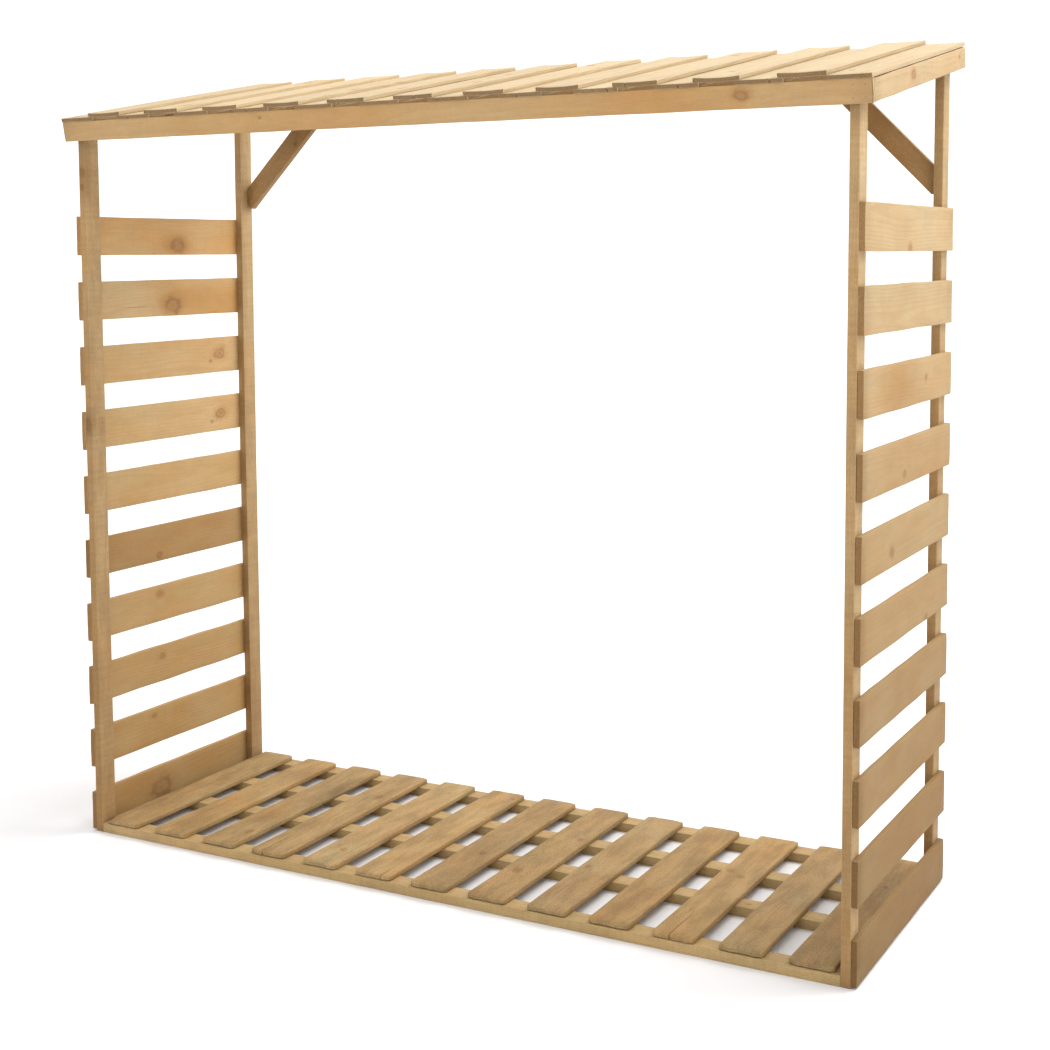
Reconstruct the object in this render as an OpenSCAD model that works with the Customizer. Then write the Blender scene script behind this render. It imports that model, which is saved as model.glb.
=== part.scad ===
// Log store: an open timber frame with slatted sides, a slatted floor and a
// sloping roof of two board layers. It stands on four posts and a floor panel.
// Front faces -Y, +X is to the right, +Z is up. The origin is on the ground, under
// the middle of the bounding box.

/* [Overall] */
// Width over the outer faces of the posts
frame_w = 1900; // [1200:10:2400]
// Depth from the front of the front posts to the back of the back posts
frame_d = 636; // [450:1:900]
// Height of the roof underside over the front of the front posts
front_h = 1721; // [1600:1:2100]
// Slope of the roof, down to the front, in degrees
roof_pitch = 10.6; // [4:0.1:15]

/* [Posts] */
// Post thickness, along the front
post_w = 20; // [16:1:40]
// Post width, front to back
post_d = 47; // [35:1:80]

/* [Side slats] */
// Number of slats on each side
side_slat_count = 10; // [4:1:12]
// Slat height
side_slat_h = 92; // [60:1:110]
// Slat thickness
side_slat_t = 12; // [9:1:20]
// Open space between the top slat and the roof frame, at the front
side_top_space = 178; // [20:1:400]
// Clearance between the lowest slat and the ground
side_slat_lift = 4; // [2:1:20]

/* [Floor] */
// Height of the bearers, which lie flat on the ground
bearer_h = 22; // [16:1:45]
// Width of the bearers, front to back
bearer_d = 47; // [30:1:80]
// Clear space behind the front bearer, up to the second one
bearer_space = 185; // [100:1:200]
// Floor slat width
floor_slat_w = 93; // [60:1:100]
// Floor slat thickness
floor_slat_t = 12; // [9:1:25]
// Largest gap between two floor slats
floor_gap_max = 55; // [20:1:80]
// Space between the end slats and the posts
floor_slat_inset = 14; // [0:1:40]
// Set-back of the slat ends from the frame's front and back
floor_slat_setback = 2; // [0:1:20]

/* [Roof frame] */
// Height of the fascia and rails
rail_h = 46; // [35:1:70]
// Thickness of the side rails
side_rail_t = 28; // [15:1:40]
// Thickness of the fascia
fascia_t = 12; // [9:1:25]
// Thickness of the middle rail
middle_rail_t = 20; // [10:1:40]
// Thickness of the back rail
back_rail_t = 12; // [9:1:25]
// Clearance between the fascia and the front posts
fascia_clear = 0.2; // [0:0.1:2]

/* [Roof boards] */
// Board width
roof_board_w = 96; // [80:1:110]
// Board thickness
roof_board_t = 9; // [7:0.5:20]
// Least overlap of an upper board on each of the two lower ones
roof_overlap_min = 10; // [5:1:20]
// Overhang of the boards in front of the fascia
roof_nose = 2; // [0:1:40]

/* [Braces] */
// Width of the brace boards
brace_w = 47; // [30:1:70]
// Thickness of the brace boards
brace_t = 20; // [10:1:35]
// Depth of the middle of a brace at its post, below the roof boards
brace_drop = 289; // [120:1:400]
// Height of the cut that blunts the lower tip of a brace
brace_tip_cut = 12; // [4:1:16]
// Clearance between the brace heads and the roof boards
brace_head_clear = 1; // [0.5:0.5:5]

/* [Hidden] */
// Half the width over the posts: the frame lies evenly about X = 0
half_w = frame_w / 2;
// The fascia leans with the roof, so its lower back edge meets the posts first
fascia_back = -(rail_h * tan(roof_pitch)) - fascia_clear;
fascia_front = fascia_back - fascia_t;
board_front = fascia_front - roof_nose;
// The side rails and boards end over the back face of the back rail
roof_back = (frame_d + back_rail_t) / cos(roof_pitch);
roof_half_w = half_w + side_rail_t;
// The boards are spread evenly, with the fewest that keep the least overlap
roof_board_spread = 2 * roof_half_w - roof_board_w;
roof_board_gaps = ceil(roof_board_spread / (2 * (roof_board_w - roof_overlap_min)));
roof_board_step = roof_board_spread / roof_board_gaps;
// The side slats are spread evenly from the ground up to the open space at the top
side_top_z = front_h - rail_h / cos(roof_pitch) - side_top_space;
side_slat_step = (side_top_z - side_slat_lift - side_slat_h) / (side_slat_count - 1);
// The floor slats are spread evenly, with the fewest that keep within the largest gap
floor_half_w = half_w - post_w;
floor_slat_spread = 2 * (floor_half_w - floor_slat_inset) - floor_slat_w;
floor_slat_gaps = ceil(floor_slat_spread / (floor_slat_w + floor_gap_max));
floor_slat_step = floor_slat_spread / floor_slat_gaps;
// The bearers behind the second one are spread evenly up to the back of the frame
bearer_2_y = bearer_d + bearer_space;
bearer_4_y = frame_d - bearer_d;
bearer_3_y = (bearer_2_y + bearer_4_y) / 2;
// The braces stand at 45 degrees
brace_rise = brace_w / cos(45);
// The bounding box runs from the nose of the lower boards to the rails' back corners
box_front = board_front * cos(roof_pitch) - 2 * roof_board_t * sin(roof_pitch);
box_back = roof_back * cos(roof_pitch) + rail_h * sin(roof_pitch);
box_mid_y = (box_front + box_back) / 2;

// Colours
light_wood = "#e6c88f";
tan_wood = "#c9a06b";
shade_wood = "#a87f4a";

SIDES = ["left", "right"];

// Height of the roof underside at a distance y behind the front of the posts
function roof_z(y) = front_h + y * tan(roof_pitch);

// Puts the front of the posts at the right distance before the box's middle
module placed() {
    translate([0, -box_mid_y, 0]) children();
}

// Side +1 is the right, -1 the left. Children are drawn for the right side.
module on_side(side) {
    mirror([side < 0 ? 1 : 0, 0, 0]) children();
}

// Lays children out in the roof's own plane: y runs up the slope, z = 0 is the underside
module in_roof() {
    translate([0, 0, front_h]) rotate([roof_pitch, 0, 0]) children();
}

// A bar along X with its cross-section given as [y, z] points
module bar_x(x, length, points) {
    translate([x, 0, 0]) rotate([90, 0, 90]) linear_extrude(length) polygon(points);
}

// A post on the right side, with its top cut to the slope of the roof
module post(y) {
    top_front = roof_z(y);
    top_back = roof_z(y + post_d);
    bar_x(half_w - post_w, post_w, [[y, 0], [y + post_d, 0], [y + post_d, top_back], [y, top_front]]);
}

module front_post(side) {
    color(tan_wood) placed() on_side(side) post(0);
}

module back_post(side) {
    color(tan_wood) placed() on_side(side) post(frame_d - post_d);
}

// Slat 1 is the top one. The slats are fixed to the outer faces of the posts.
module side_slat(side, i) {
    z = side_slat_lift + (side_slat_count - i) * side_slat_step;
    color(light_wood) placed() on_side(side)
        translate([half_w, 0, z]) cube([side_slat_t, frame_d, side_slat_h]);
}

module bearer(y) {
    color(tan_wood) placed()
        translate([-floor_half_w, y, 0]) cube([2 * floor_half_w, bearer_d, bearer_h]);
}

module floor_slats() {
    first_x = -floor_half_w + floor_slat_inset;
    length = frame_d - 2 * floor_slat_setback;
    color(shade_wood) placed()
        for (i = [0 : floor_slat_gaps])
            translate([first_x + i * floor_slat_step, floor_slat_setback, bearer_h])
                cube([floor_slat_w, length, floor_slat_t]);
}

// The fascia covers the front ends of the side rails
module roof_fascia() {
    color(tan_wood) placed() in_roof()
        translate([-roof_half_w, fascia_front, -rail_h]) cube([2 * roof_half_w, fascia_t, rail_h]);
}

// The side rails are fixed to the outer faces of the posts
module roof_side_rail(side) {
    color(light_wood) placed() on_side(side) in_roof()
        translate([half_w, fascia_back, -rail_h])
            cube([side_rail_t, roof_back - fascia_back, rail_h]);
}

// The middle rail crosses between the side rails, halfway up the slope
module roof_middle_rail() {
    middle_y = (fascia_back + roof_back) / 2;
    color(tan_wood) placed() in_roof()
        translate([-half_w, middle_y - middle_rail_t / 2, -rail_h])
            cube([frame_w, middle_rail_t, rail_h]);
}

// The back rail stands upright behind the back posts, between the side rails
module roof_back_rail() {
    front = frame_d;
    back = frame_d + back_rail_t;
    foot = roof_z(front) - rail_h;
    color(tan_wood) placed()
        bar_x(-half_w, frame_w, [[front, foot], [back, foot], [back, roof_z(back)], [front, roof_z(front)]]);
}

// One layer of boards, evenly spread about the middle of the roof
module board_layer(count, z) {
    first_x = -(count - 1) / 2 * roof_board_step - roof_board_w / 2;
    color(light_wood) placed() in_roof()
        for (i = [0 : count - 1])
            translate([first_x + i * roof_board_step, board_front, z])
                cube([roof_board_w, roof_back - board_front, roof_board_t]);
}

module roof_lower_boards() {
    board_layer(roof_board_gaps + 1, 0);
}

// Each upper board covers the gap between two lower boards
module roof_upper_boards() {
    board_layer(roof_board_gaps, roof_board_t);
}

// A brace rises at 45 degrees from the inner face of a back post to the back rail.
// It lies against the back rail, level with the backs of the posts.
module brace(side) {
    foot_x = half_w - post_w;
    roof_foot = roof_z(frame_d - brace_t);
    head = roof_foot - brace_head_clear;
    low = roof_foot - brace_drop - brace_rise / 2;
    high = low + brace_rise;
    points = [
        [foot_x, low + brace_tip_cut],
        [foot_x, high],
        [foot_x - (head - high), head],
        [foot_x - (head - low), head],
        [foot_x - brace_tip_cut, low + brace_tip_cut]
    ];
    color(shade_wood) placed() on_side(side)
        translate([0, frame_d, 0]) rotate([90, 0, 0]) linear_extrude(brace_t) polygon(points);
}

front_post(-1);  // front_left_post
front_post(1);  // front_right_post
back_post(-1);  // back_left_post
back_post(1);  // back_right_post
bearer(0);  // floor_front_bearer
bearer(bearer_2_y);  // floor_second_bearer
bearer(bearer_3_y);  // floor_third_bearer
bearer(bearer_4_y);  // floor_back_bearer
floor_slats();
roof_fascia();
roof_side_rail(-1);  // roof_left_rail
roof_side_rail(1);  // roof_right_rail
roof_middle_rail();
roof_back_rail();
roof_lower_boards();
roof_upper_boards();
brace(-1);  // left_brace
brace(1);  // right_brace
for (i = [1 : side_slat_count]) {
    side_slat(-1, i);
    side_slat(1, i);
}
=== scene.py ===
"""Looks of the log store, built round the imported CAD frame.

Each solid of the frame is one board or batten. Here each becomes a sawn softwood timber of the
same length, width and thickness, with eased edges, rough ends, a slight warp, drying splits, and
its own run of grain and knots. Small nail heads are added where such a store is nailed. Lengths
are in metres.
"""

import math
import random
from dataclasses import dataclass

import bmesh
import bpy
from mathutils import Matrix, Vector


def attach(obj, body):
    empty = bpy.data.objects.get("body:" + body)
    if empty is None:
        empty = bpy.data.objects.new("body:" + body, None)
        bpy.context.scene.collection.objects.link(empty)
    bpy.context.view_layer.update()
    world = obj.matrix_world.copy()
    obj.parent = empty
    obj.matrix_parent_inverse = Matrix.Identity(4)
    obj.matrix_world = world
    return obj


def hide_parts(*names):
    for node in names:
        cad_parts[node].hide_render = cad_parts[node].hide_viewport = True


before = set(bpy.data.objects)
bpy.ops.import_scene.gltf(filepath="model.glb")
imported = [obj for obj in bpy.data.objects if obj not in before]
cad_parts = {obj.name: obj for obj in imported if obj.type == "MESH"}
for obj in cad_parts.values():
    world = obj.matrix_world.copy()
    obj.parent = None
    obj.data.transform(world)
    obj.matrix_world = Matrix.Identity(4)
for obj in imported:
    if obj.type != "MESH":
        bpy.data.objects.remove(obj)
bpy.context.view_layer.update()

MM = 0.001
RIGHT, BACK, UP = Vector((1, 0, 0)), Vector((0, 1, 0)), Vector((0, 0, 1))
SIDES = {"left": -1, "right": 1}
SLAT_COUNT = sum(name.startswith("right_slat_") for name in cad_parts)


# ---------------------------------------------------------------- shader helpers
class Shader:
    """Short ways to add and join the nodes of one material."""

    def __init__(self, name):
        self.material = bpy.data.materials.new(name)
        self.material.use_nodes = True
        self.tree = self.material.node_tree
        self.tree.nodes.clear()

    def feed(self, socket, value):
        if isinstance(value, bpy.types.NodeSocket):
            self.tree.links.new(value, socket)
        else:
            socket.default_value = value

    def add(self, kind, inputs=(), **settings):
        node = self.tree.nodes.new(kind)
        for name, value in settings.items():
            setattr(node, name, value)
        for name, value in dict(inputs).items():
            self.feed(node.inputs[name], value)
        return node

    def attribute(self, name, output="Vector"):
        return self.add("ShaderNodeAttribute", attribute_name=name).outputs[output]

    def math(self, operation, *values, clamp=False):
        node = self.add("ShaderNodeMath", enumerate(values), operation=operation, use_clamp=clamp)
        return node.outputs[0]

    def vector(self, operation, *values):
        node = self.add("ShaderNodeVectorMath", enumerate(values), operation=operation)
        return node.outputs[0]

    def split(self, vector):
        return self.add("ShaderNodeSeparateXYZ", {0: vector}).outputs[:3]

    def noise(self, vector, stretch, detail=2.0, roughness=0.5, output=0):
        """Noise with that many features to the metre along each axis."""
        place = self.vector("MULTIPLY", vector, stretch)
        inputs = {"Vector": place, "Scale": 1.0, "Detail": detail, "Roughness": roughness}
        return self.add("ShaderNodeTexNoise", inputs).outputs[output]

    def step(self, value, low, high, bottom=0.0, top=1.0):
        """Goes smoothly from bottom to top as value goes from low to high."""
        inputs = {
            "Value": value,
            "From Min": low,
            "From Max": high,
            "To Min": bottom,
            "To Max": top,
        }
        node = self.add("ShaderNodeMapRange", inputs, interpolation_type="SMOOTHSTEP")
        return node.outputs[0]

    def mix(self, first, second, share, blend="MIX"):
        inputs = {0: share, 6: first, 7: second}
        return self.add("ShaderNodeMix", inputs, data_type="RGBA", blend_type=blend).outputs[2]

    def product(self, first, *others):
        for value in others:
            first = self.math("MULTIPLY", first, value)
        return first

    def length(self, a, b):
        """The length of the vector (a, b)."""
        return self.math("SQRT", self.math("MULTIPLY_ADD", a, a, self.math("MULTIPLY", b, b)))

    def tint(self, colour, amount):
        """The colour, or any three numbers, times one number."""
        inputs = {0: colour, "Scale": amount}
        return self.add("ShaderNodeVectorMath", inputs, operation="SCALE").outputs[0]

    def finish(self, colour, roughness, height, distance, specular=0.3, metallic=0.0):
        bump = self.add("ShaderNodeBump", {"Height": height, "Distance": distance, "Strength": 1.0})
        inputs = {
            "Base Color": colour,
            "Roughness": roughness,
            "Specular IOR Level": specular,
            "Metallic": metallic,
            "Normal": bump.outputs[0],
        }
        surface = self.add("ShaderNodeBsdfPrincipled", inputs)
        output = self.add("ShaderNodeOutputMaterial")
        self.tree.links.new(surface.outputs[0], output.inputs[0])
        return self.material


def rgb(red, green, blue):
    return (red, green, blue, 1.0)


# ---------------------------------------------------------------- wood
KNOT_WOOD = rgb(0.34, 0.185, 0.075)
KNOT_LINE = rgb(0.19, 0.085, 0.032)
KNOT_STAIN = rgb(0.40, 0.20, 0.065)
# How far apart the rings inside a knot are, and how many knots a timber can have
KNOT_RINGS = 2.6 * MM
KNOT_SLOTS = 3
# A knot is this much shorter across the grain than along it
KNOT_SQUAT = 0.68
# How far a knot's outline strays, as a share of its radius
KNOT_WOBBLE = 1.5
# Where each mark of a knot comes and goes, in radii from its middle, and from what to what
KNOT_INSIDE = (0.75, 1.1, 1.0, 0.0)
KNOT_LINE_START = (0.55, 0.95)
KNOT_LINE_END = (0.95, 1.5, 1.0, 0.0)
KNOT_HEART = (-0.1, 0.35, 1.0, 0.0)
KNOT_STAINED = (0.8, 2.6, 1.0, 0.0)
KNOT_BULGE = (0.4, 3.4, 1.0, 0.0)
# How far the grain is pushed aside, in radii
KNOT_PUSH = 1.6

# How far the rings stray from true cylinders, over long and short distances
RING_DRIFT = 30 * MM
RING_WAVER = 2.4 * MM
# Where in a ring the late wood comes, slowly, and goes again
RING_RISE = (0.25, 0.86)
RING_DROP = (0.9, 1.0, 1.0, 0.0)
# How far from its ends a timber is darker, where they soak up water and in a dark rim
SOAK_LENGTH = 60 * MM
RIM_WIDTH = 3 * MM
# The height of the bumps, and what the rings, fibres, saw marks and specks add to them
BUMP_HEIGHT = 0.5 * MM
LATE_BUMP, FIBRE_BUMP, RIPPLE_BUMP, SPECK_BUMP = 0.35, 0.45, 6.0, 10.0
# Moves each timber to another stretch of the patterns
SEED_STEP = (7.3, 3.1, 5.7)

# Features to the metre along, across and through a timber, then the noise's detail and roughness
PATTERNS = {
    "patch": ((3.0, 22.0, 22.0), 3.0, 0.55),
    "cloud": ((5.5, 9.0, 9.0), 2.0, 0.6),
    "fine": ((14.0, 160.0, 160.0), 2.0, 0.5),
    "fibre": ((25.0, 620.0, 620.0), 2.0, 0.6),
    "ripple": ((110.0, 12.0, 12.0), 1.0, 0.5),
    "speck": ((170.0, 420.0, 420.0), 3.0, 0.65),
    "grime": ((9.0, 30.0, 30.0), 3.0, 0.6),
}
DRIFT_PATTERN = ((2.2, 5.0, 5.0), 1.0)
WOBBLE_PATTERN = ((38.0, 75.0, 75.0), 3.0)
FAINT_PATTERN = ((30.0, 50.0, 50.0), 1.0)
PORE_PATTERN = ((200.0, 420.0, 420.0), 2.0, 0.7)


@dataclass
class Wood:
    """How one kind of timber looks: its colours, and how strong each mark on it is.

    The rings are pale early wood and dark late wood. Warm patches turn to honey, and a damp, green
    tinge multiplies by olive. The ends have a colour of their own, and a darker rim round them.
    """

    early: tuple = rgb(0.54, 0.39, 0.212)
    late: tuple = rgb(0.41, 0.26, 0.12)
    honey: tuple = rgb(0.48, 0.262, 0.093)
    olive: tuple = rgb(0.84, 0.90, 0.68)
    contrast: float = 0.4
    mottle: float = 0.6
    rings: float = 4.2 * MM
    ripple: float = 0.01
    specks: float = 0.03
    edge_warm: float = 0.0
    # Painted shade on the narrow faces
    edge_shade: float = 0.0
    end: tuple = rgb(0.44, 0.25, 0.095)
    end_soak: float = 0.12
    end_rim: float = 0.0
    end_shade: float = 0.62


def knots(shader, place, grain):
    """Marks of the board's knots: the wood in them, the dark line round them, their hearts, the
    stain about them, and how far they push the grain aside.

    A knot with a negative radius shows on the narrow faces, at w in place of v.
    """
    u, v, w = shader.split(grain)
    wobble = shader.math("SUBTRACT", shader.noise(place, *WOBBLE_PATTERN), 0.5)
    faint = shader.step(shader.noise(place, *FAINT_PATTERN), 0.35, 0.6, 0.45, 1.0)
    inside, line, heart, stain, push = 0.0, 0.0, 0.0, 0.0, 0.0
    for index in range(KNOT_SLOTS):
        knot_u, knot_side, size = shader.split(shader.attribute(f"knot_{index}"))
        is_narrow = shader.math("LESS_THAN", size, 0.0)
        radius = shader.math("ABSOLUTE", size)
        side = shader.math("MULTIPLY_ADD", shader.math("SUBTRACT", w, v), is_narrow, v)
        du = shader.math("MULTIPLY", shader.math("SUBTRACT", u, knot_u), KNOT_SQUAT)
        distance = shader.length(du, shader.math("SUBTRACT", side, knot_side))
        share = shader.math("DIVIDE", distance, shader.math("MAXIMUM", radius, 0.01 * MM))
        share = shader.math("MULTIPLY_ADD", wobble, KNOT_WOBBLE, share)
        ring = shader.math("SINE", shader.math("DIVIDE", distance, KNOT_RINGS / math.tau))
        ring = shader.math("MULTIPLY_ADD", ring, 0.3, 0.7)
        core = shader.math("MULTIPLY", shader.step(share, *KNOT_INSIDE), ring)
        inside = shader.math("MAXIMUM", inside, core)
        start, end = (shader.step(share, *band) for band in (KNOT_LINE_START, KNOT_LINE_END))
        line = shader.math("MAXIMUM", line, shader.product(start, end, faint))
        heart = shader.math("MAXIMUM", heart, shader.step(share, *KNOT_HEART))
        stain = shader.math("MAXIMUM", stain, shader.step(share, *KNOT_STAINED))
        bulge = shader.step(share, *KNOT_BULGE)
        push = shader.math("MULTIPLY_ADD", bulge, shader.math("MULTIPLY", radius, KNOT_PUSH), push)
    return inside, line, heart, stain, push


def growth_rings(shader, wood, place, grain, fine, push):
    """How late the wood is: 0 at the start of each ring, and 1 near its end.

    The rings are cylinders round the pith of the tree that the board came from.
    """
    drift = shader.noise(place, *DRIFT_PATTERN, output=1)
    drift = shader.vector("SUBTRACT", drift, (0.5, 0.5, 0.5))
    drift = shader.vector("MULTIPLY", drift, (0.0, RING_DRIFT, RING_DRIFT))
    u, v, w = shader.split(shader.vector("ADD", grain, drift))
    pith_v, pith_w, taper = shader.split(shader.attribute("pith"))
    dv = shader.math("SUBTRACT", v, pith_v)
    dw = shader.math("SUBTRACT", w, pith_w)
    radius = shader.math("ADD", shader.length(dv, dw), push)
    radius = shader.math("MULTIPLY_ADD", u, taper, radius)
    radius = shader.math("MULTIPLY_ADD", fine, RING_WAVER, radius)
    ring = shader.math("FRACT", shader.math("DIVIDE", radius, wood.rings))
    return shader.math("MULTIPLY", shader.step(ring, *RING_RISE), shader.step(ring, *RING_DROP))


def ring_colour(shader, wood, patterns, late, warmth, green, edge):
    """The wood's colour before any knot: its rings, its warm patches and its green tinge."""
    patch = patterns["patch"]
    strength = shader.step(patch, 0.2, 0.8, 0.45 * wood.contrast, wood.contrast)
    colour = shader.mix(wood.early, wood.late, shader.math("MULTIPLY", late, strength))
    cloudy = shader.math("SUBTRACT", patterns["cloud"], 0.5)
    patchy = shader.math("SUBTRACT", patch, 0.5)
    warm = shader.math("MULTIPLY_ADD", cloudy, wood.mottle, warmth)
    warm = shader.math("MULTIPLY_ADD", edge, wood.edge_warm, warm)
    warm = shader.math("MULTIPLY_ADD", patchy, 0.5 * wood.mottle, warm, clamp=True)
    colour = shader.mix(colour, wood.honey, warm)
    tinge = shader.math("MULTIPLY", green, shader.step(patch, 0.3, 0.7, 1.0, 0.4))
    return shader.mix(colour, wood.olive, tinge, "MULTIPLY")


def knotted(shader, colour, inside, line, heart, stain):
    """The colour with the knots in it."""
    for mark, tint, strength in (
        (stain, KNOT_STAIN, 0.6),
        (inside, KNOT_WOOD, 0.65),
        (line, KNOT_LINE, 0.45),
        (heart, KNOT_LINE, 0.35),
    ):
        colour = shader.mix(colour, tint, shader.math("MULTIPLY", mark, strength))
    return colour


def weathered_and_shaded(shader, wood, patterns, brightness, edge, reach):
    """The brightness with its fibres, saw marks, painted shade on the narrow faces, specks, dirt
    and soaked ends.
    """
    return shader.product(
        brightness,
        shader.step(patterns["fibre"], 0.2, 0.8, 0.93, 1.05),
        shader.step(patterns["ripple"], 0.35, 0.65, 1.0 - wood.ripple, 1.0 + wood.ripple),
        # Painted shade on the narrow faces, where edge is 1
        shader.math("MULTIPLY_ADD", edge, -wood.edge_shade, 1.0),
        shader.step(patterns["speck"], 0.35, 0.65, 1.0 - wood.specks, 1.0 + wood.specks),
        shader.step(patterns["grime"], 0.3, 0.7, 1.0 - 1.5 * wood.specks, 1.0 + 0.8 * wood.specks),
        shader.step(reach, 0.0, SOAK_LENGTH, 1.0 - wood.end_soak, 1.0),
    )


def pine(name, wood, is_end=False):
    """Sawn pine, for the long faces of a timber or for its sawn ends."""
    shader = Shader(name)
    grain = shader.attribute("grain")
    edge = shader.attribute("edge", "Fac")
    reach = shader.attribute("reach", "Fac")
    brightness, warmth, green = shader.split(shader.attribute("tone"))
    place = shader.vector("ADD", grain, shader.tint(SEED_STEP, shader.attribute("seed", "Fac")))
    patterns = {key: shader.noise(place, *pattern) for key, pattern in PATTERNS.items()}

    *knot_marks, push = knots(shader, place, grain)
    late = growth_rings(shader, wood, place, grain, patterns["fine"], push)
    colour = ring_colour(shader, wood, patterns, late, warmth, green, edge)
    colour = knotted(shader, colour, *knot_marks)
    shade = weathered_and_shaded(shader, wood, patterns, brightness, edge, reach)
    if is_end:
        pores = shader.noise(place, *PORE_PATTERN)
        pores = shader.step(pores, 0.3, 0.7, 0.8 * wood.end_shade, 1.2 * wood.end_shade)
        shade = shader.math("MULTIPLY", shade, pores)
        colour = shader.mix(colour, wood.end, 0.75)
    else:
        rim = shader.step(reach, 0.0, RIM_WIDTH, 1.0 - wood.end_rim, 1.0)
        shade = shader.math("MULTIPLY", shade, rim)

    height = shader.math("MULTIPLY", patterns["fibre"], FIBRE_BUMP)
    height = shader.math("MULTIPLY_ADD", late, LATE_BUMP, height)
    height = shader.math("MULTIPLY_ADD", patterns["ripple"], RIPPLE_BUMP * wood.ripple, height)
    height = shader.math("MULTIPLY_ADD", patterns["speck"], SPECK_BUMP * wood.specks, height)
    roughness = shader.step(patterns["fibre"], 0.2, 0.8, 0.66, 0.86)
    return shader.finish(shader.tint(colour, shade), roughness, height, BUMP_HEIGHT)


def wood_pair(slot, wood):
    """The material of a timber's long faces and that of its sawn ends."""
    return [pine(slot, wood), pine(f"{slot}_end", wood, is_end=True)]


WOODS = {
    # The posts' edge_shade is painted shade on their narrow front and back faces
    "post_wood": Wood(ripple=0.045, specks=0.07, edge_warm=0.35, edge_shade=0.13, mottle=0.8),
    "bearer_wood": Wood(ripple=0.03, specks=0.08, end_shade=0.9),
    "floor_wood": Wood(
        contrast=0.8,
        mottle=1.0,
        specks=0.14,
        end_soak=0.0,
        end=rgb(0.42, 0.29, 0.14),
        end_shade=1.0,
    ),
    "fascia_wood": Wood(contrast=0.4, end_rim=0.5, end_shade=1.0, end=rgb(0.54, 0.38, 0.20)),
    "rail_wood": Wood(contrast=0.35, end_shade=0.8),
    "roof_wood": Wood(early=rgb(0.53, 0.415, 0.25), contrast=0.45, end_soak=0.0, end_shade=0.5),
    "brace_wood": Wood(contrast=0.6, specks=0.08, mottle=1.0),
    "side_slat_wood": Wood(
        contrast=0.32, rings=6.5 * MM, mottle=1.0, end=rgb(0.46, 0.225, 0.068), end_shade=0.72
    ),
}
MATERIALS = {slot: wood_pair(slot, wood) for slot, wood in WOODS.items()}


# ---------------------------------------------------------------- timbers
# The mesh: steps round an eased edge, and about how far apart its points lie across and along
EDGE_STEPS = 3
COLUMN_STEP = 13 * MM
STATION_STEP = 32 * MM
# How far from a long edge the ends start to round off
CORNER_ZONE = 14 * MM
# No other column lies nearer to a split than this, and a split cuts back the end by as much
SPLIT_ROOM = 3 * MM
# The deepest that a split goes, as a share of half the thickness
SPLIT_REACH = 0.85
# How much thickness an eased end loses on each face, as a share of its easing
END_TAPER = 0.8

# The ranges that each timber's chance marks are drawn from
PITH_OFF = (18 * MM, 70 * MM)
PITH_ASIDE = 0.6
TAPER = 0.02
TWIST = math.radians(0.25)
END_SKEW = math.radians(0.35)
WAVE_SIZE = (0.1 * MM, 0.35 * MM)
WAVE_RATE = (18, 40)
KNOT_SPREAD_ALONG = 0.46
KNOT_SPREAD_ACROSS = 0.4
KNOT_SIZE = (0.03, 0.09)
WIDEST_FOR_KNOTS = 90 * MM


@dataclass
class Cut:
    """A saw cut: what lies on the side that the normal points to is gone."""

    point: Vector
    normal: Vector


@dataclass
class Lie:
    """Where a timber lies: its middle, its directions and its size."""

    middle: Vector
    along: Vector
    across: Vector
    length: float
    width: float
    thick: float

    @property
    def through(self):
        return self.along.cross(self.across)

    def point(self, u, v, w):
        return self.middle + self.along * u + self.across * v + self.through * w


@dataclass
class Split:
    """A drying split along the grain, at v across the timber. An end split is widest at its start.

    A check is a split that doesn't reach the timber's end, and is widest at its middle.
    """

    v: float
    start: float
    end: float
    depth: float = 4.5 * MM
    lip: float = 0.7 * MM
    is_check: bool = False

    def opening(self, u):
        share = min(max((u - self.start) / (self.end - self.start), 0.0), 1.0)
        return math.sin(math.pi * share) if self.is_check else (1 - share) ** 0.6


@dataclass
class Blush:
    """A patch of a timber that is warmer or darker than the rest, such as heartwood, a stain, or
    painted shade.

    It reaches as far along the timber as it says, and less far across it.
    """

    u: float
    v: float
    reach: float
    warm: float = 0.0
    dark: float = 0.0
    squat: float = 0.4

    def amount(self, u, v):
        along = (u - self.u) / self.reach
        across = (v - self.v) / (self.squat * self.reach)
        return math.exp(-(along**2) - across**2)


@dataclass
class Wane:
    """A stretch of a long edge where the board is thinner, because it was cut at the bark."""

    u: float
    side: int
    length: float
    size: float
    steepness: float = 0.55

    def depth(self, u, v, half_width):
        near = max(0.0, (v * self.side - (half_width - self.size)) / self.size)
        here = max(0.0, 1 - (2 * (u - self.u) / self.length) ** 2)
        return self.steepness * self.size * near * math.sqrt(here)


@dataclass
class Style:
    """What sets one timber apart. The foot of a timber is its start, where u is lowest.

    Its tone comes first, and how much darker and warmer that gets at the foot, which is painted
    shade and painted warm light bounced off the ground, then its blushes and its knots, with None
    for chance ones. Then come how far it is bent across and along, how far its long edges and ends
    are rounded, and last what is cut or split off it.
    """

    bright: float = 1.0
    warm: float = 0.2
    green: float = 0.1
    foot_shade: float = 0.0
    foot_bounce_warm: float = 0.0
    blushes: tuple = ()
    knots: tuple = None
    knot_chance: float = 0.25
    cup: float = 0.0
    bow: float = 0.6 * MM
    ease: float = 1.4 * MM
    end_ease: float = 0.8 * MM
    rough_end: float = 0.3 * MM
    round_end: float = 0.5 * MM
    cuts: tuple = ()
    trims: tuple = ()
    splits: tuple = ()
    wanes: tuple = ()


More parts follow.
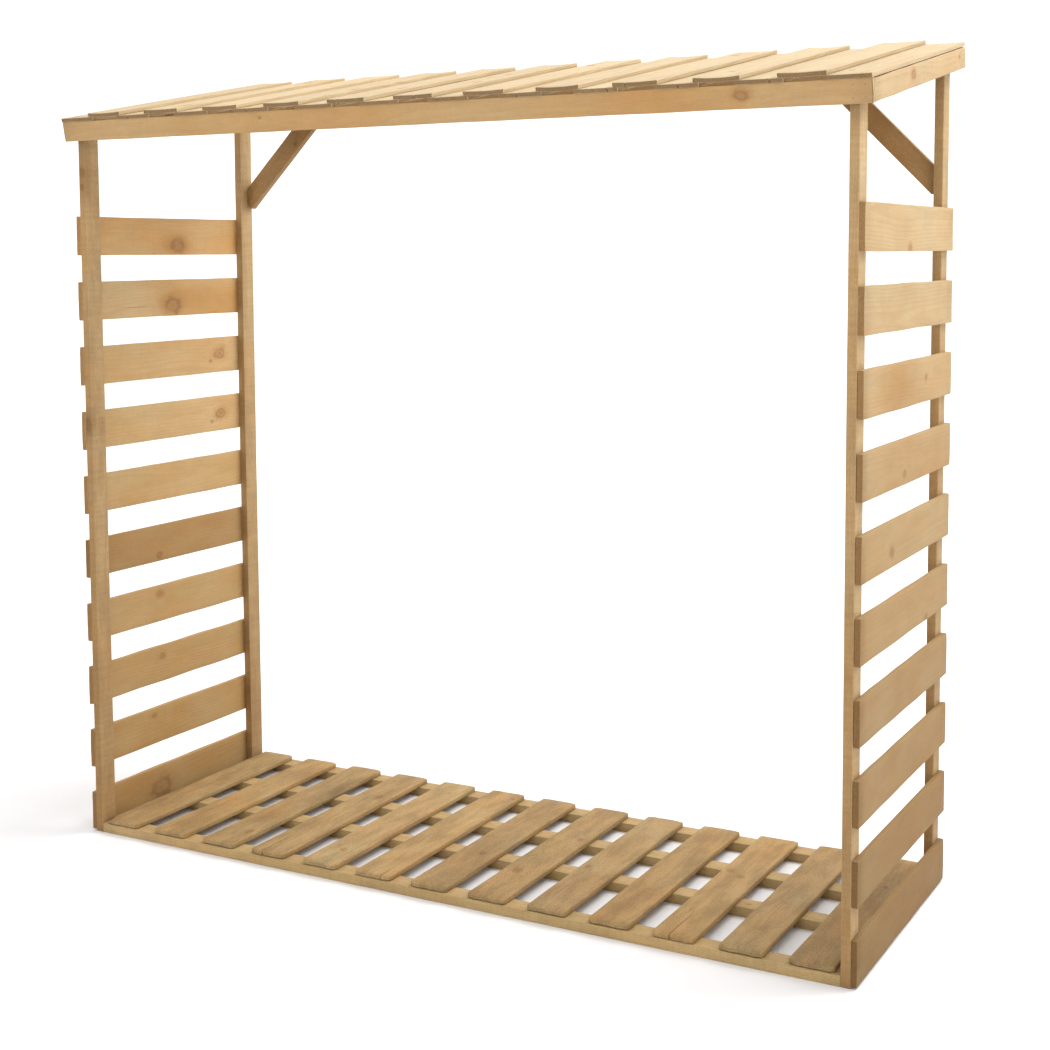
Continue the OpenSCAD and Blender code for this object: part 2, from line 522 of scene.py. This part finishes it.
def solids(node):
    """The corners of each separate solid of a CAD node, from left to right."""
    mesh = bmesh.new()
    mesh.from_mesh(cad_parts[node].data)
    bmesh.ops.remove_doubles(mesh, verts=mesh.verts, dist=0.01 * MM)
    found = []
    for start in mesh.verts:
        if start.tag:
            continue
        start.tag = True
        group = [start]
        for corner in group:
            for edge in corner.link_edges:
                other = edge.other_vert(corner)
                if not other.tag:
                    other.tag = True
                    group.append(other)
        found.append([corner.co.copy() for corner in group])
    mesh.free()
    return sorted(found, key=lambda corners: min(c.x for c in corners))


def lie_of(corners, along, across):
    """The box round a solid's corners, with its sides in the given directions."""
    axes = [along, across, along.cross(across)]
    low = [min(c.dot(axis) for c in corners) for axis in axes]
    high = [max(c.dot(axis) for c in corners) for axis in axes]
    middle = sum((axis * (a + b) / 2 for axis, a, b in zip(axes, low, high)), Vector())
    return Lie(middle, along, across, *[b - a for a, b in zip(low, high)])


def columns_across(lie, style):
    """Places across a timber, as (v, half thickness, split, side of the split).

    The long edges are rounded. A split has a column on each lip (-1 and 1) and one between (0).
    """
    half_w, half_t = lie.width / 2, lie.thick / 2
    rounded = []
    for step in range(EDGE_STEPS, -1, -1):
        angle = math.radians(90) * step / EDGE_STEPS
        v = half_w - style.ease * (1 - math.cos(angle))
        rounded.append((v, half_t - style.ease * (1 - math.sin(angle)), None, 0))
    flat = half_w - style.ease
    count = max(1, round(2 * flat / COLUMN_STEP))
    inner = [-flat + 2 * flat * i / count for i in range(1, count)]
    inner = [v for v in inner if all(abs(v - split.v) > SPLIT_ROOM for split in style.splits)]
    inner = [(v, half_t, None, 0) for v in inner]
    for split in style.splits:
        inner += [(split.v + lip * split.lip, half_t, split, lip) for lip in (-1, 0, 1)]
    inner.sort(key=lambda column: column[0])
    return [(-v, *rest) for v, *rest in reversed(rounded)] + inner + rounded


def shares_along(lie, style):
    """Shares of the length at which the timber has a cross-section."""
    eased = style.end_ease / lie.length
    count = max(2, round(lie.length / STATION_STEP))
    inner = [i / count for i in range(1, count)]
    for split in style.splits:
        ends = [0.5 + u / lie.length for u in (split.start, split.end)]
        inner += [ends[0] + (ends[1] - ends[0]) * part for part in (0.25, 0.5, 0.75, 1.0)]
    inner = [share for share in inner if 2 * eased < share < 1 - 2 * eased]
    return sorted([0.0, eased, 1 - eased, 1.0] + inner)


def trimmed(point, lie, trims):
    """The point moved back across the timber to each bevel that it lies beyond."""
    for bevel in trims:
        over = (point - bevel.point).dot(bevel.normal)
        if over > 0:
            point = point - lie.across * (over / lie.across.dot(bevel.normal))
    return point


class Timber:
    """One board or batten: where it lies, its style, and the chance marks its name gives it."""

    def __init__(self, name, lie, style):
        rng = random.Random(name)
        self.name, self.lie, self.style = name, lie, style
        self.seed = rng.uniform(0.0, 9.0)
        pith_off = rng.choice((-1, 1)) * rng.uniform(*PITH_OFF)
        pith_aside = rng.uniform(-PITH_ASIDE, PITH_ASIDE) * lie.width
        self.pith = Vector((pith_aside, pith_off, rng.uniform(-TAPER, TAPER)))
        self.knots = self.pick_knots(rng)
        self.bow, self.crook = (rng.uniform(-1, 1) * style.bow for _ in range(2))
        self.twist = rng.uniform(-TWIST, TWIST)
        self.waves = [
            (rng.uniform(*WAVE_SIZE), rng.uniform(*WAVE_RATE), rng.uniform(0, 6)) for _ in range(2)
        ]
        self.end_skew = [rng.uniform(-END_SKEW, END_SKEW) for _ in range(2)]
        self.columns = columns_across(lie, style)
        self.shares = shares_along(lie, style)
        self.rough = [
            [rng.uniform(-1, 1) * style.rough_end for _ in self.columns] for _ in range(2)
        ]

    def pick_knots(self, rng):
        """Knots as (along, across, radius). A radius of 0 is no knot."""
        chosen = list(self.style.knots or ())
        if self.style.knots is None:
            for _ in range(KNOT_SLOTS):
                if rng.random() < self.style.knot_chance:
                    u = rng.uniform(-KNOT_SPREAD_ALONG, KNOT_SPREAD_ALONG) * self.lie.length
                    v = rng.uniform(-KNOT_SPREAD_ACROSS, KNOT_SPREAD_ACROSS) * self.lie.width
                    radius = rng.uniform(*KNOT_SIZE) * min(self.lie.width, WIDEST_FOR_KNOTS)
                    chosen.append((u, v, radius))
        return (chosen + [(0.0, 0.0, 0.0)] * KNOT_SLOTS)[:KNOT_SLOTS]

    def reach(self, v, w):
        """Where the line along the timber at (v, w) starts and ends, once the saw cuts are made."""
        low, high = -self.lie.length / 2, self.lie.length / 2
        for cut in self.style.cuts:
            slope = self.lie.along.dot(cut.normal)
            at = (cut.point - self.lie.point(0, v, w)).dot(cut.normal) / slope
            if slope > 0:
                high = min(high, at)
            else:
                low = max(low, at)
        return low, high

    def tone(self, u, v):
        """Brightness, warmth and greenness there."""
        # The foot is painted darker, as shade, and warmer, as light bounced off the ground
        foot = 0.5 - u / self.lie.length
        bright = self.style.bright * (1 - self.style.foot_shade * foot)
        warm = self.style.warm + self.style.foot_bounce_warm * foot
        for blush in self.style.blushes:
            warm += blush.warm * blush.amount(u, v)
            bright *= 1 - blush.dark * blush.amount(u, v)
        return Vector((bright, warm, self.style.green))

    def warped(self, u, v, w):
        """The point of the real, slightly bent timber that is at (u, v, w) of the straight one."""
        across = 2 * v / self.lie.width
        lengthwise = math.cos(math.pi * u / self.lie.length)
        face = math.copysign(1, w)
        w += self.bow * lengthwise - self.style.cup * (1 - across * across)
        w += math.tan(self.twist) * v * u / self.lie.length
        v += self.crook * lengthwise
        wave = sum(size * math.sin(rate * u + phase + face) for size, rate, phase in self.waves)
        v += wave * across
        return trimmed(self.lie.point(u, v, w), self.lie, self.style.trims)

    def surface(self, share, index, face):
        """A point of the straight timber's surface as (u, v, w), and how far it is from an end."""
        style, lie = self.style, self.lie
        v, half_t, split, lip = self.columns[index]
        near_end = 0 if share < 0.5 else 1
        at_end = share in (self.shares[0], self.shares[-1])
        if at_end:
            v *= 1 - 2 * style.end_ease / lie.width
            half_t -= END_TAPER * style.end_ease
        low, high = self.reach(v, face * half_t)
        u = low + share * (high - low)
        away = min(u - low, high - u)
        if at_end or share in (self.shares[1], self.shares[-2]):
            u += v * math.tan(self.end_skew[near_end])
            u += self.rough[near_end][index] * (1 if at_end else 0.5)
            past = max(0.0, abs(v) - lie.width / 2 + CORNER_ZONE) / CORNER_ZONE
            u -= math.copysign(style.round_end * past**2, u)
        if split:
            opening = split.opening(u)
            if lip:
                v += lip * split.lip * opening
            else:
                half_t -= min(split.depth, SPLIT_REACH * half_t) * opening
                u -= math.copysign(SPLIT_ROOM * opening, u) if at_end else 0.0
        if face > 0:
            half_t -= min(sum(wane.depth(u, v, lie.width / 2) for wane in style.wanes), half_t)
        return (u, v, face * half_t), away

    def mesh(self):
        """The timber's surface, with the facts that its material reads on each vertex."""
        mesh = bmesh.new()
        facts = {"pith": self.pith}
        facts.update((f"knot_{i}", Vector(knot)) for i, knot in enumerate(self.knots))
        layers = mesh.verts.layers
        vectors = {key: layers.float_vector.new(key) for key in ("grain", "tone", *facts)}
        numbers = {key: layers.float.new(key) for key in ("seed", "reach", "edge")}
        last = len(self.columns) - 1

        def corner(share, index, face):
            (u, v, w), away = self.surface(share, index, face)
            vertex = mesh.verts.new(self.warped(u, v, w))
            vertex[vectors["grain"]] = Vector((u, v, w))
            vertex[vectors["tone"]] = self.tone(u, v)
            for key, value in facts.items():
                vertex[vectors[key]] = value
            vertex[numbers["seed"]] = self.seed
            vertex[numbers["reach"]] = away
            vertex[numbers["edge"]] = 1.0 if index in (0, last) else 0.0
            return vertex

        rows = [
            [[corner(share, i, face) for i in range(last + 1)] for face in (1, -1)]
            for share in self.shares
        ]
        for here, after in zip(rows, rows[1:]):
            for low, high in zip(here, after):
                for i in range(last):
                    mesh.faces.new((low[i], low[i + 1], high[i + 1], high[i]))
            for i in (0, last):
                mesh.faces.new((here[0][i], after[0][i], after[1][i], here[1][i]))
        for row in (rows[0], rows[-1]):
            for i in range(last):
                face = mesh.faces.new((row[0][i], row[0][i + 1], row[1][i + 1], row[1][i]))
                face.material_index = 1
        bmesh.ops.recalc_face_normals(mesh, faces=mesh.faces)
        return mesh


def add_piece(name, mesh, materials, replaces=None):
    """A finished piece of the object, riding on its only body."""
    data = bpy.data.meshes.new(name)
    mesh.to_mesh(data)
    mesh.free()
    for material in materials:
        data.materials.append(material)
    data.shade_smooth()
    data.set_sharp_from_angle(angle=math.radians(40))
    piece = bpy.data.objects.new(name, data)
    bpy.context.scene.collection.objects.link(piece)
    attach(piece, "root")
    if replaces:
        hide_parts(replaces)
    return piece


def add_timber(name, node, lie, style, slot):
    timber = Timber(name, lie, style)
    add_piece(name, timber.mesh(), MATERIALS[slot], node)
    return timber


# ---------------------------------------------------------------- the parts of the store
def roof_directions():
    """Up the slope of the roof and square off it, from the top edge of a side rail."""
    corners = solids("roof_left_rail")[0]
    front_top = min(corners, key=lambda c: c.y)
    back_top = max(corners, key=lambda c: c.z)
    up_slope = back_top - front_top
    up_slope.x = 0
    up_slope.normalize()
    return up_slope, RIGHT.cross(up_slope)


UP_SLOPE, OFF_ROOF = roof_directions()


# Brightness and warmth of each post
POST_TONES = {
    "front_left": (0.89, 0.27),
    "front_right": (0.96, 0.12),
    "back_left": (0.84, 0.27),
    "back_right": (0.86, 0.27),
}
POST_FRONT = -23 * MM
# What the photo shows on the narrow front face of the front left post
FRONT_LEFT_KNOTS = (
    (133 * MM, 4 * MM, -9 * MM),
    (735 * MM, 0.0, -6 * MM),
    (700 * MM, 1 * MM, -4 * MM),
)
FRONT_LEFT_BLUSHES = (
    Blush(715 * MM, POST_FRONT, 60 * MM, warm=0.3, dark=0.2),
    Blush(133 * MM, POST_FRONT, 35 * MM, dark=0.25),
)


def posts():
    """The four posts. Their narrow faces are at the front and back, and painted darker under the
    fascia, as shade.
    """
    built = []
    for place, (bright, warm) in POST_TONES.items():
        node = f"{place}_post"
        corners = solids(node)[0]
        lie = lie_of(corners, UP, BACK)
        is_marked = place == "front_left"
        # Painted shade under the fascia, at the top of the narrow front face
        shade_under_fascia = Blush(lie.length / 2 - 62 * MM, POST_FRONT, 34 * MM, dark=0.28)
        style = Style(
            bright=bright,
            warm=warm,
            green=0.15,
            # Painted shade and painted warm light bounced off the ground: darker and warmer towards
            # the foot
            foot_shade=0.24,
            foot_bounce_warm=0.35,
            cuts=(Cut(max(corners, key=lambda c: c.z), OFF_ROOF),),
            bow=1.5 * MM,
            ease=1.8 * MM,
            knots=FRONT_LEFT_KNOTS if is_marked else (),
            blushes=(shade_under_fascia, *(FRONT_LEFT_BLUSHES if is_marked else ())),
        )
        built.append(add_timber(f"{node}_timber", node, lie, style, "post_wood"))
    return built


# What the photo shows on single side slats. Slat 1 is the top one. On the left, v is measured
# down from the slat's middle, and on the right, up from it.
SLAT_MARKS = {
    ("left", 1): {
        "warm": 0.65,
        "knots": ((31 * MM, 22 * MM, 15 * MM),),
        "blushes": (
            Blush(31 * MM, 22 * MM, 48 * MM, warm=0.8, dark=0.16),
            Blush(270 * MM, 0.0, 90 * MM, warm=0.3),
        ),
    },
    ("left", 2): {
        "warm": 0.4,
        "knots": ((9 * MM, 20 * MM, 17 * MM),),
        "blushes": (
            Blush(5 * MM, 6 * MM, 58 * MM, warm=0.8, dark=0.12),
            Blush(200 * MM, 22 * MM, 140 * MM, warm=0.9, dark=0.06),
            Blush(-180 * MM, 0.0, 160 * MM, warm=-0.3),
        ),
        "splits": (
            Split(20 * MM, -190 * MM, -70 * MM, depth=1.5 * MM, lip=0.4 * MM, is_check=True),
        ),
    },
    ("left", 3): {"knots": ((193 * MM, -5 * MM, 13 * MM), (155 * MM, 15 * MM, 3 * MM))},
    ("left", 4): {"knots": ((191 * MM, 0.0, 11 * MM), (155 * MM, 19 * MM, 3 * MM))},
    ("left", 6): {"warm": 0.85, "bright": 0.68, "knots": ((-65 * MM, 30 * MM, 6 * MM),)},
    ("left", 7): {"knots": ((-66 * MM, -25 * MM, 7 * MM),)},
    ("left", 8): {"knots": ((-63 * MM, -18 * MM, 6 * MM),)},
    ("left", 9): {"knots": ((-99 * MM, -28 * MM, 5 * MM),)},
    ("left", 10): {"knots": ((-78 * MM, 8 * MM, 22 * MM),)},
    ("right", 1): {"knots": ((-18 * MM, -38 * MM, 7 * MM),)},
    ("right", 3): {
        "knots": ((115 * MM, 5 * MM, 5 * MM),),
        "blushes": (Blush(-70 * MM, 0.0, 130 * MM, warm=0.6, dark=0.08),),
    },
    ("right", 4): {
        "knots": ((-37 * MM, -23 * MM, 6 * MM),),
        "blushes": (Blush(60 * MM, 0.0, 200 * MM, warm=0.3),),
    },
    ("right", 5): {"knots": ((-119 * MM, -15 * MM, 8 * MM),)},
    ("right", 6): {"knots": ((141 * MM, -40 * MM, 6 * MM),)},
}


# Brightness and warmth of the top slat of each side, and how much each changes down to the lowest
# The change down to the ground is partly painted shade, for less light low down, and partly the
# slats' own tone
SLAT_TONES = {"left": ((1.04, -0.3), (0.35, 0.45)), "right": ((0.92, -0.42), (0.15, 0.8))}


def side_slats():
    """The slats of both sides. They are darker, warmer and greener towards the ground, partly as
    painted shade and partly as their own tone.
    """
    built = []
    for side, sign in SIDES.items():
        for number in range(1, SLAT_COUNT + 1):
            node = f"{side}_slat_{number}"
            down = (number - 1) / (SLAT_COUNT - 1)
            rng = random.Random(f"{node} tone")
            bright, warm = (top + change * down for top, change in SLAT_TONES[side])
            facts = {
                "bright": bright * rng.uniform(0.97, 1.03),
                "warm": warm,
                "green": 0.15 + 0.45 * down,
                "cup": rng.uniform(-0.6, 0.6) * MM,
                "knots": (),
            }
            style = Style(**(facts | SLAT_MARKS.get((side, number), {})))
            lie = lie_of(solids(node)[0], BACK, UP * sign)
            built.append(add_timber(f"{node}_timber", node, lie, style, "side_slat_wood"))
    return built


# What the photo shows on single floor slats, counted from the left
FLOOR_MARKS = {
    1: {"wanes": (Wane(-312 * MM, 1, 26 * MM, 16 * MM),)},
    3: {
        "wanes": (Wane(120 * MM, -1, 150 * MM, 20 * MM),),
        "blushes": (
            Blush(120 * MM, -40 * MM, 80 * MM, dark=0.4),
            Blush(-100 * MM, 10 * MM, 90 * MM, warm=0.5),
        ),
    },
    4: {"splits": (Split(14 * MM, -316 * MM, -205 * MM, lip=1.1 * MM),)},
    6: {"splits": (Split(-24 * MM, -316 * MM, -250 * MM),)},
    8: {"knots": ((-150 * MM, 12 * MM, 8 * MM), (90 * MM, -25 * MM, 5 * MM))},
    11: {"splits": (Split(8 * MM, -316 * MM, -170 * MM),)},
}


def floor():
    """The floor panel: slats over four bearers."""
    bearers, slats = [], []
    for place in ("front", "second", "third", "back"):
        node = f"floor_{place}_bearer"
        style = Style(bright=0.86, warm=0.35, green=0.6, bow=0.3 * MM)
        lie = lie_of(solids(node)[0], RIGHT, BACK)
        bearers.append(add_timber(f"{node}_timber", node, lie, style, "bearer_wood"))
    for number, corners in enumerate(solids("floor_slats"), 1):
        rng = random.Random(f"floor slat {number}")
        facts = {
            "bright": rng.uniform(0.66, 0.78),
            "warm": rng.uniform(0.45, 0.7),
            "green": 0.6,
            "ease": 2.8 * MM,
            "end_ease": 3.4 * MM,
            "rough_end": 1.3 * MM,
            "round_end": 4.0 * MM,
            "cup": rng.uniform(-0.8, 0.8) * MM,
        }
        style = Style(**(facts | FLOOR_MARKS.get(number, {})))
        name = f"floor_slat_{number}_timber"
        lie = lie_of(corners, BACK, -RIGHT)
        slats.append(add_timber(name, "floor_slats", lie, style, "floor_wood"))
    return bearers, slats


# The side rails have dried, so that a narrow dark gap shows between them and the boards
RAIL_SHRINKAGE = 1.8 * MM
# What the photo shows on the right rail. The left one is hidden, and has the same.
SIDE_RAIL_KNOTS = ((-76 * MM, 4 * MM, 8 * MM), (283 * MM, 5 * MM, 3 * MM))


def roof_frame():
    """The fascia, the two side rails, the middle rail and the back rail."""
    fascia_lie = lie_of(solids("roof_fascia")[0], RIGHT, OFF_ROOF)
    fascia = Style(
        bright=0.9,
        warm=0.5,
        green=0.1,
        bow=0.5 * MM,
        knots=((723 * MM, 4 * MM, 9 * MM), (-401 * MM, 9 * MM, 2.5 * MM)),
        blushes=(
            Blush(-300 * MM, 10 * MM, 260 * MM, warm=0.35),
            Blush(520 * MM, -5 * MM, 240 * MM, warm=0.35),
        ),
    )
    lies = {"roof_fascia": (fascia_lie, fascia, "fascia_wood")}
    for side in SIDES:
        node = f"roof_{side}_rail"
        lie = lie_of(solids(node)[0], UP_SLOPE, OFF_ROOF)
        lie.width -= RAIL_SHRINKAGE
        lie.middle -= OFF_ROOF * RAIL_SHRINKAGE / 2
        style = Style(bright=0.92, warm=0.15, green=0.05, ease=2.8 * MM, knots=SIDE_RAIL_KNOTS)
        lies[node] = (lie, style, "rail_wood")
    middle_lie = lie_of(solids("roof_middle_rail")[0], RIGHT, OFF_ROOF)
    lies["roof_middle_rail"] = (middle_lie, Style(bright=0.72, warm=0.5), "rail_wood")
    corners = solids("roof_back_rail")[0]
    back = Style(bright=0.8, warm=0.4, trims=(Cut(max(corners, key=lambda c: c.z), OFF_ROOF),))
    lies["roof_back_rail"] = (lie_of(corners, RIGHT, UP), back, "rail_wood")
    return {
        node: add_timber(f"{node}_timber", node, lie, style, slot)
        for node, (lie, style, slot) in lies.items()
    }


# The most that the boards of each layer have cupped
BOARD_CUPS = {"lower": 0.3 * MM, "upper": 2.4 * MM}
END_SPLIT_CHANCE = 0.4
END_SPLIT_LENGTH = (40 * MM, 120 * MM)


def roof_boards():
    """Both layers of roof boards. The upper ones have cupped, so that their edges stand up."""
    built = {}
    for layer, cup in BOARD_CUPS.items():
        node = f"roof_{layer}_boards"
        built[layer] = []
        for number, corners in enumerate(solids(node), 1):
            rng = random.Random(f"{layer} {number}")
            lie = lie_of(corners, UP_SLOPE, -RIGHT)
            splits = ()
            if rng.random() < END_SPLIT_CHANCE:
                start = -lie.length / 2
                end = start + rng.uniform(*END_SPLIT_LENGTH)
                splits = (Split(rng.uniform(-0.3, 0.3) * lie.width, start, end),)
            style = Style(
                bright=rng.uniform(0.93, 1.02),
                warm=rng.uniform(0.0, 0.12),
                green=0.0,
                cup=cup * rng.uniform(0.4, 1.0),
                rough_end=0.9 * MM,
                ease=1.2 * MM,
                knot_chance=0.3,
                splits=splits,
            )
            name = f"roof_{layer}_board_{number}_timber"
            built[layer].append(add_timber(name, node, lie, style, "roof_wood"))
    return built


def braces():
    """The two corner braces, cut upright at the post and level under the roof."""
    for side, sign in SIDES.items():
        node = f"{side}_brace"
        corners = solids(node)[0]
        foot = max(corners, key=lambda c: c.x * sign)
        low = min(corners, key=lambda c: c.z)
        high = max(corners, key=lambda c: c.z)
        cuts = (Cut(foot, RIGHT * sign), Cut(low, -UP), Cut(high, UP))
        along = (UP - RIGHT * sign).normalized()
        across = (UP + RIGHT * sign).normalized()
        lie = lie_of(corners, along, across)
        # Painted shade: darker at the head, under the roof
        shaded_head = Blush(0.28 * lie.length, 0.0, 0.45 * lie.length, dark=0.26)
        style = Style(
            bright=0.71, warm=0.85, green=0.1, cuts=cuts, bow=0.3 * MM, blushes=(shaded_head,)
        )
        add_timber(f"{node}_timber", node, lie, style, "brace_wood")


post_timbers = posts()
slat_timbers = side_slats()
bearer_timbers, floor_timbers = floor()
frame_timbers = roof_frame()
board_timbers = roof_boards()
braces()


# ---------------------------------------------------------------- nails
NAIL_RUST = rgb(0.22, 0.15, 0.09)
NAIL_STEEL = rgb(0.34, 0.25, 0.16)
NAIL_RADIUS = 1.3 * MM
NAIL_SIDES = 10
# The head's outline, as shares of its radius and heights over the wood
NAIL_PROFILE = ((1.0, -0.6 * MM), (1.0, 0.12 * MM), (0.85, 0.24 * MM), (0.5, 0.3 * MM))
FRAME_NAIL_SPREAD = 12 * MM
# How far each pair of nails lies from the middle of a roof board, as a share of its width: in the
# lower layer where the upper boards leave it bare, and in the upper one over the overlaps
ROOF_NAIL_SHARES = {"lower": 0.26, "upper": 0.4}


def nail_metal():
    """Dull steel, browned by the weather."""
    shader = Shader("nail_steel")
    place = shader.add("ShaderNodeTexCoord").outputs["Object"]
    mottle = shader.noise(place, (900.0, 900.0, 900.0), 3.0, 0.6)
    colour = shader.mix(NAIL_RUST, NAIL_STEEL, shader.step(mottle, 0.35, 0.65))
    roughness = shader.step(mottle, 0.3, 0.7, 0.65, 0.45)
    return shader.finish(colour, roughness, mottle, 0.05 * MM, specular=0.5, metallic=0.4)


def nail_head(mesh, place, out):
    """A flat, slightly domed head, with its skirt sunk in the wood."""
    side = out.orthogonal().normalized()
    up = out.cross(side)
    rings = []
    for share, height in NAIL_PROFILE:
        ring = []
        for step in range(NAIL_SIDES):
            angle = math.tau * step / NAIL_SIDES
            spoke = side * math.cos(angle) + up * math.sin(angle)
            ring.append(mesh.verts.new(place + spoke * NAIL_RADIUS * share + out * height))
        rings.append(ring)
    for low, high in zip(rings, rings[1:]):
        for i in range(NAIL_SIDES):
            j = (i + 1) % NAIL_SIDES
            mesh.faces.new((low[i], low[j], high[j], high[i]))
    mesh.faces.new(rings[-1])


def nail(mesh, timber, u, v, face=1):
    """A nail driven into a timber at (u, v), through the face on that side."""
    surface = timber.warped(u, v, face * timber.lie.thick / 2)
    nail_head(mesh, surface, timber.lie.through * face)


def along_of(timber, point):
    """How far along the timber it passes over, under or beside the point, seen from above."""
    plan = Vector((timber.lie.along.x, timber.lie.along.y, 0)).normalized()
    return (point - timber.lie.middle).dot(plan) / timber.lie.along.dot(plan)


def nail_pairs(mesh, timber, points, spread, face=1):
    """Two nails side by side where the timber crosses each of the points."""
    for point in points:
        for v in (-spread, spread):
            nail(mesh, timber, along_of(timber, point), v, face)


def add_nails():
    """Nails where each board crosses what it is fixed to."""
    front_post, back_post = (post.lie.middle for post in (post_timbers[1], post_timbers[3]))
    fascia, back_rail = frame_timbers["roof_fascia"], frame_timbers["roof_back_rail"]
    middle_rail = frame_timbers["roof_middle_rail"]
    rails = [frame_timbers[f"roof_{side}_rail"] for side in SIDES]
    names = ("side_slat_nails", "floor_nails", "roof_nails", "frame_nails")
    groups = {name: bmesh.new() for name in names}
    for slat in slat_timbers:
        nail_pairs(groups["side_slat_nails"], slat, (front_post, back_post), slat.lie.width / 4)
    for slat in floor_timbers:
        bearers = [bearer.lie.middle for bearer in bearer_timbers]
        nail_pairs(groups["floor_nails"], slat, bearers, slat.lie.width / 4)
    supports = [rail.lie.middle for rail in (fascia, middle_rail, back_rail)]
    for layer, share in ROOF_NAIL_SHARES.items():
        for board in board_timbers[layer]:
            nail_pairs(groups["roof_nails"], board, supports, share * board.lie.width)
    corners = [post.lie.middle for post in post_timbers] + [rail.lie.middle for rail in rails]
    nail_pairs(groups["frame_nails"], fascia, corners[:2] + corners[4:], FRAME_NAIL_SPREAD)
    nail_pairs(groups["frame_nails"], back_rail, corners[2:4], FRAME_NAIL_SPREAD, face=-1)
    for rail, face in zip(rails, (-1, 1)):
        crossings = (front_post, middle_rail.lie.middle, back_post)
        nail_pairs(groups["frame_nails"], rail, crossings, FRAME_NAIL_SPREAD, face)
    metal = nail_metal()
    for name, mesh in groups.items():
        bmesh.ops.recalc_face_normals(mesh, faces=mesh.faces)
        add_piece(name, mesh, [metal])


add_nails()


# ---------------------------------------------------------------- floor, light and camera
FLOOR_HALF_WIDTH = 20.0
# The floor's colour gets lighter between these distances from the store's middle: painted shade
# near the store, and painted light far off, where the key light falls off
FLOOR_FADE = (1.2, 6.0)
KEY_LIGHT = {"place": (2.8, 2.8, 5.9), "target": (0.0, 0.0, 0.9), "size": 4.0, "power": 330.0}
WORLD_STRENGTH = 1.3


def studio_floor():
    """A pale floor, large enough to meet the white background far behind the store."""
    mesh = bmesh.new()
    bmesh.ops.create_grid(mesh, x_segments=40, y_segments=40, size=FLOOR_HALF_WIDTH)
    data = bpy.data.meshes.new("studio_floor")
    mesh.to_mesh(data)
    mesh.free()
    shader = Shader("studio_floor")
    place = shader.add("ShaderNodeTexCoord").outputs["Object"]
    speck = shader.noise(place, (9.0, 9.0, 9.0), 3.0)
    x, y, _ = shader.split(place)
    # Painted shade and light: darker near the store, lighter far off
    far = shader.step(shader.length(x, y), *FLOOR_FADE)
    far = shader.math("MULTIPLY_ADD", speck, 0.1, far, clamp=True)
    colour = shader.mix(rgb(0.78, 0.78, 0.79), rgb(0.95, 0.95, 0.95), far)
    data.materials.append(shader.finish(colour, 0.9, speck, 0.1 * MM, specular=0.1))
    item = bpy.data.objects.new("studio_floor", data)
    bpy.context.scene.collection.objects.link(item)


def white_world():
    world = bpy.data.worlds.new("studio_white")
    world.use_nodes = True
    background = world.node_tree.nodes["Background"]
    background.inputs["Color"].default_value = rgb(1.0, 1.0, 1.0)
    background.inputs["Strength"].default_value = WORLD_STRENGTH
    bpy.context.scene.world = world


def soft_box(name, place, target, size, power):
    """A square studio light that points at the target."""
    light = bpy.data.lights.new(name, "AREA")
    light.shape = "SQUARE"
    light.size = size
    light.energy = power
    item = bpy.data.objects.new(name, light)
    item.location = place
    item.rotation_euler = (Vector(target) - Vector(place)).to_track_quat("-Z", "Y").to_euler()
    bpy.context.scene.collection.objects.link(item)


# Worked out from the perspective of the photo. A larger shift would match its upright lines better,
# but the other views have the same shift, and it would push the store out of them.
CAMERA_PLACE = (1.8839, -3.3239, 1.4071)
CAMERA_TURN, CAMERA_TILT, CAMERA_ROLL = (math.radians(angle) for angle in (28.509, 4.856, 0.309))
CAMERA_LENS = 57.41
CAMERA_SENSOR = 36.0
CAMERA_SHIFT = -0.1248


def camera():
    """The camera of the main view: at chest height, to the right of the front."""
    data = bpy.data.cameras.new("camera")
    data.lens = CAMERA_LENS
    data.sensor_width = CAMERA_SENSOR
    data.shift_y = CAMERA_SHIFT
    item = bpy.data.objects.new("camera", data)
    upright = math.radians(90)
    rotation = Matrix.Rotation(CAMERA_TURN, 4, "Z")
    rotation @= Matrix.Rotation(upright - CAMERA_TILT, 4, "X")
    rotation @= Matrix.Rotation(-CAMERA_ROLL, 4, "Z")
    item.matrix_world = Matrix.Translation(CAMERA_PLACE) @ rotation
    bpy.context.scene.collection.objects.link(item)
    bpy.context.scene.camera = item


studio_floor()
white_world()
soft_box("key_light", **KEY_LIGHT)
camera()
bpy.context.scene.view_settings.view_transform = "Standard"

bpy.context.view_layer.update()
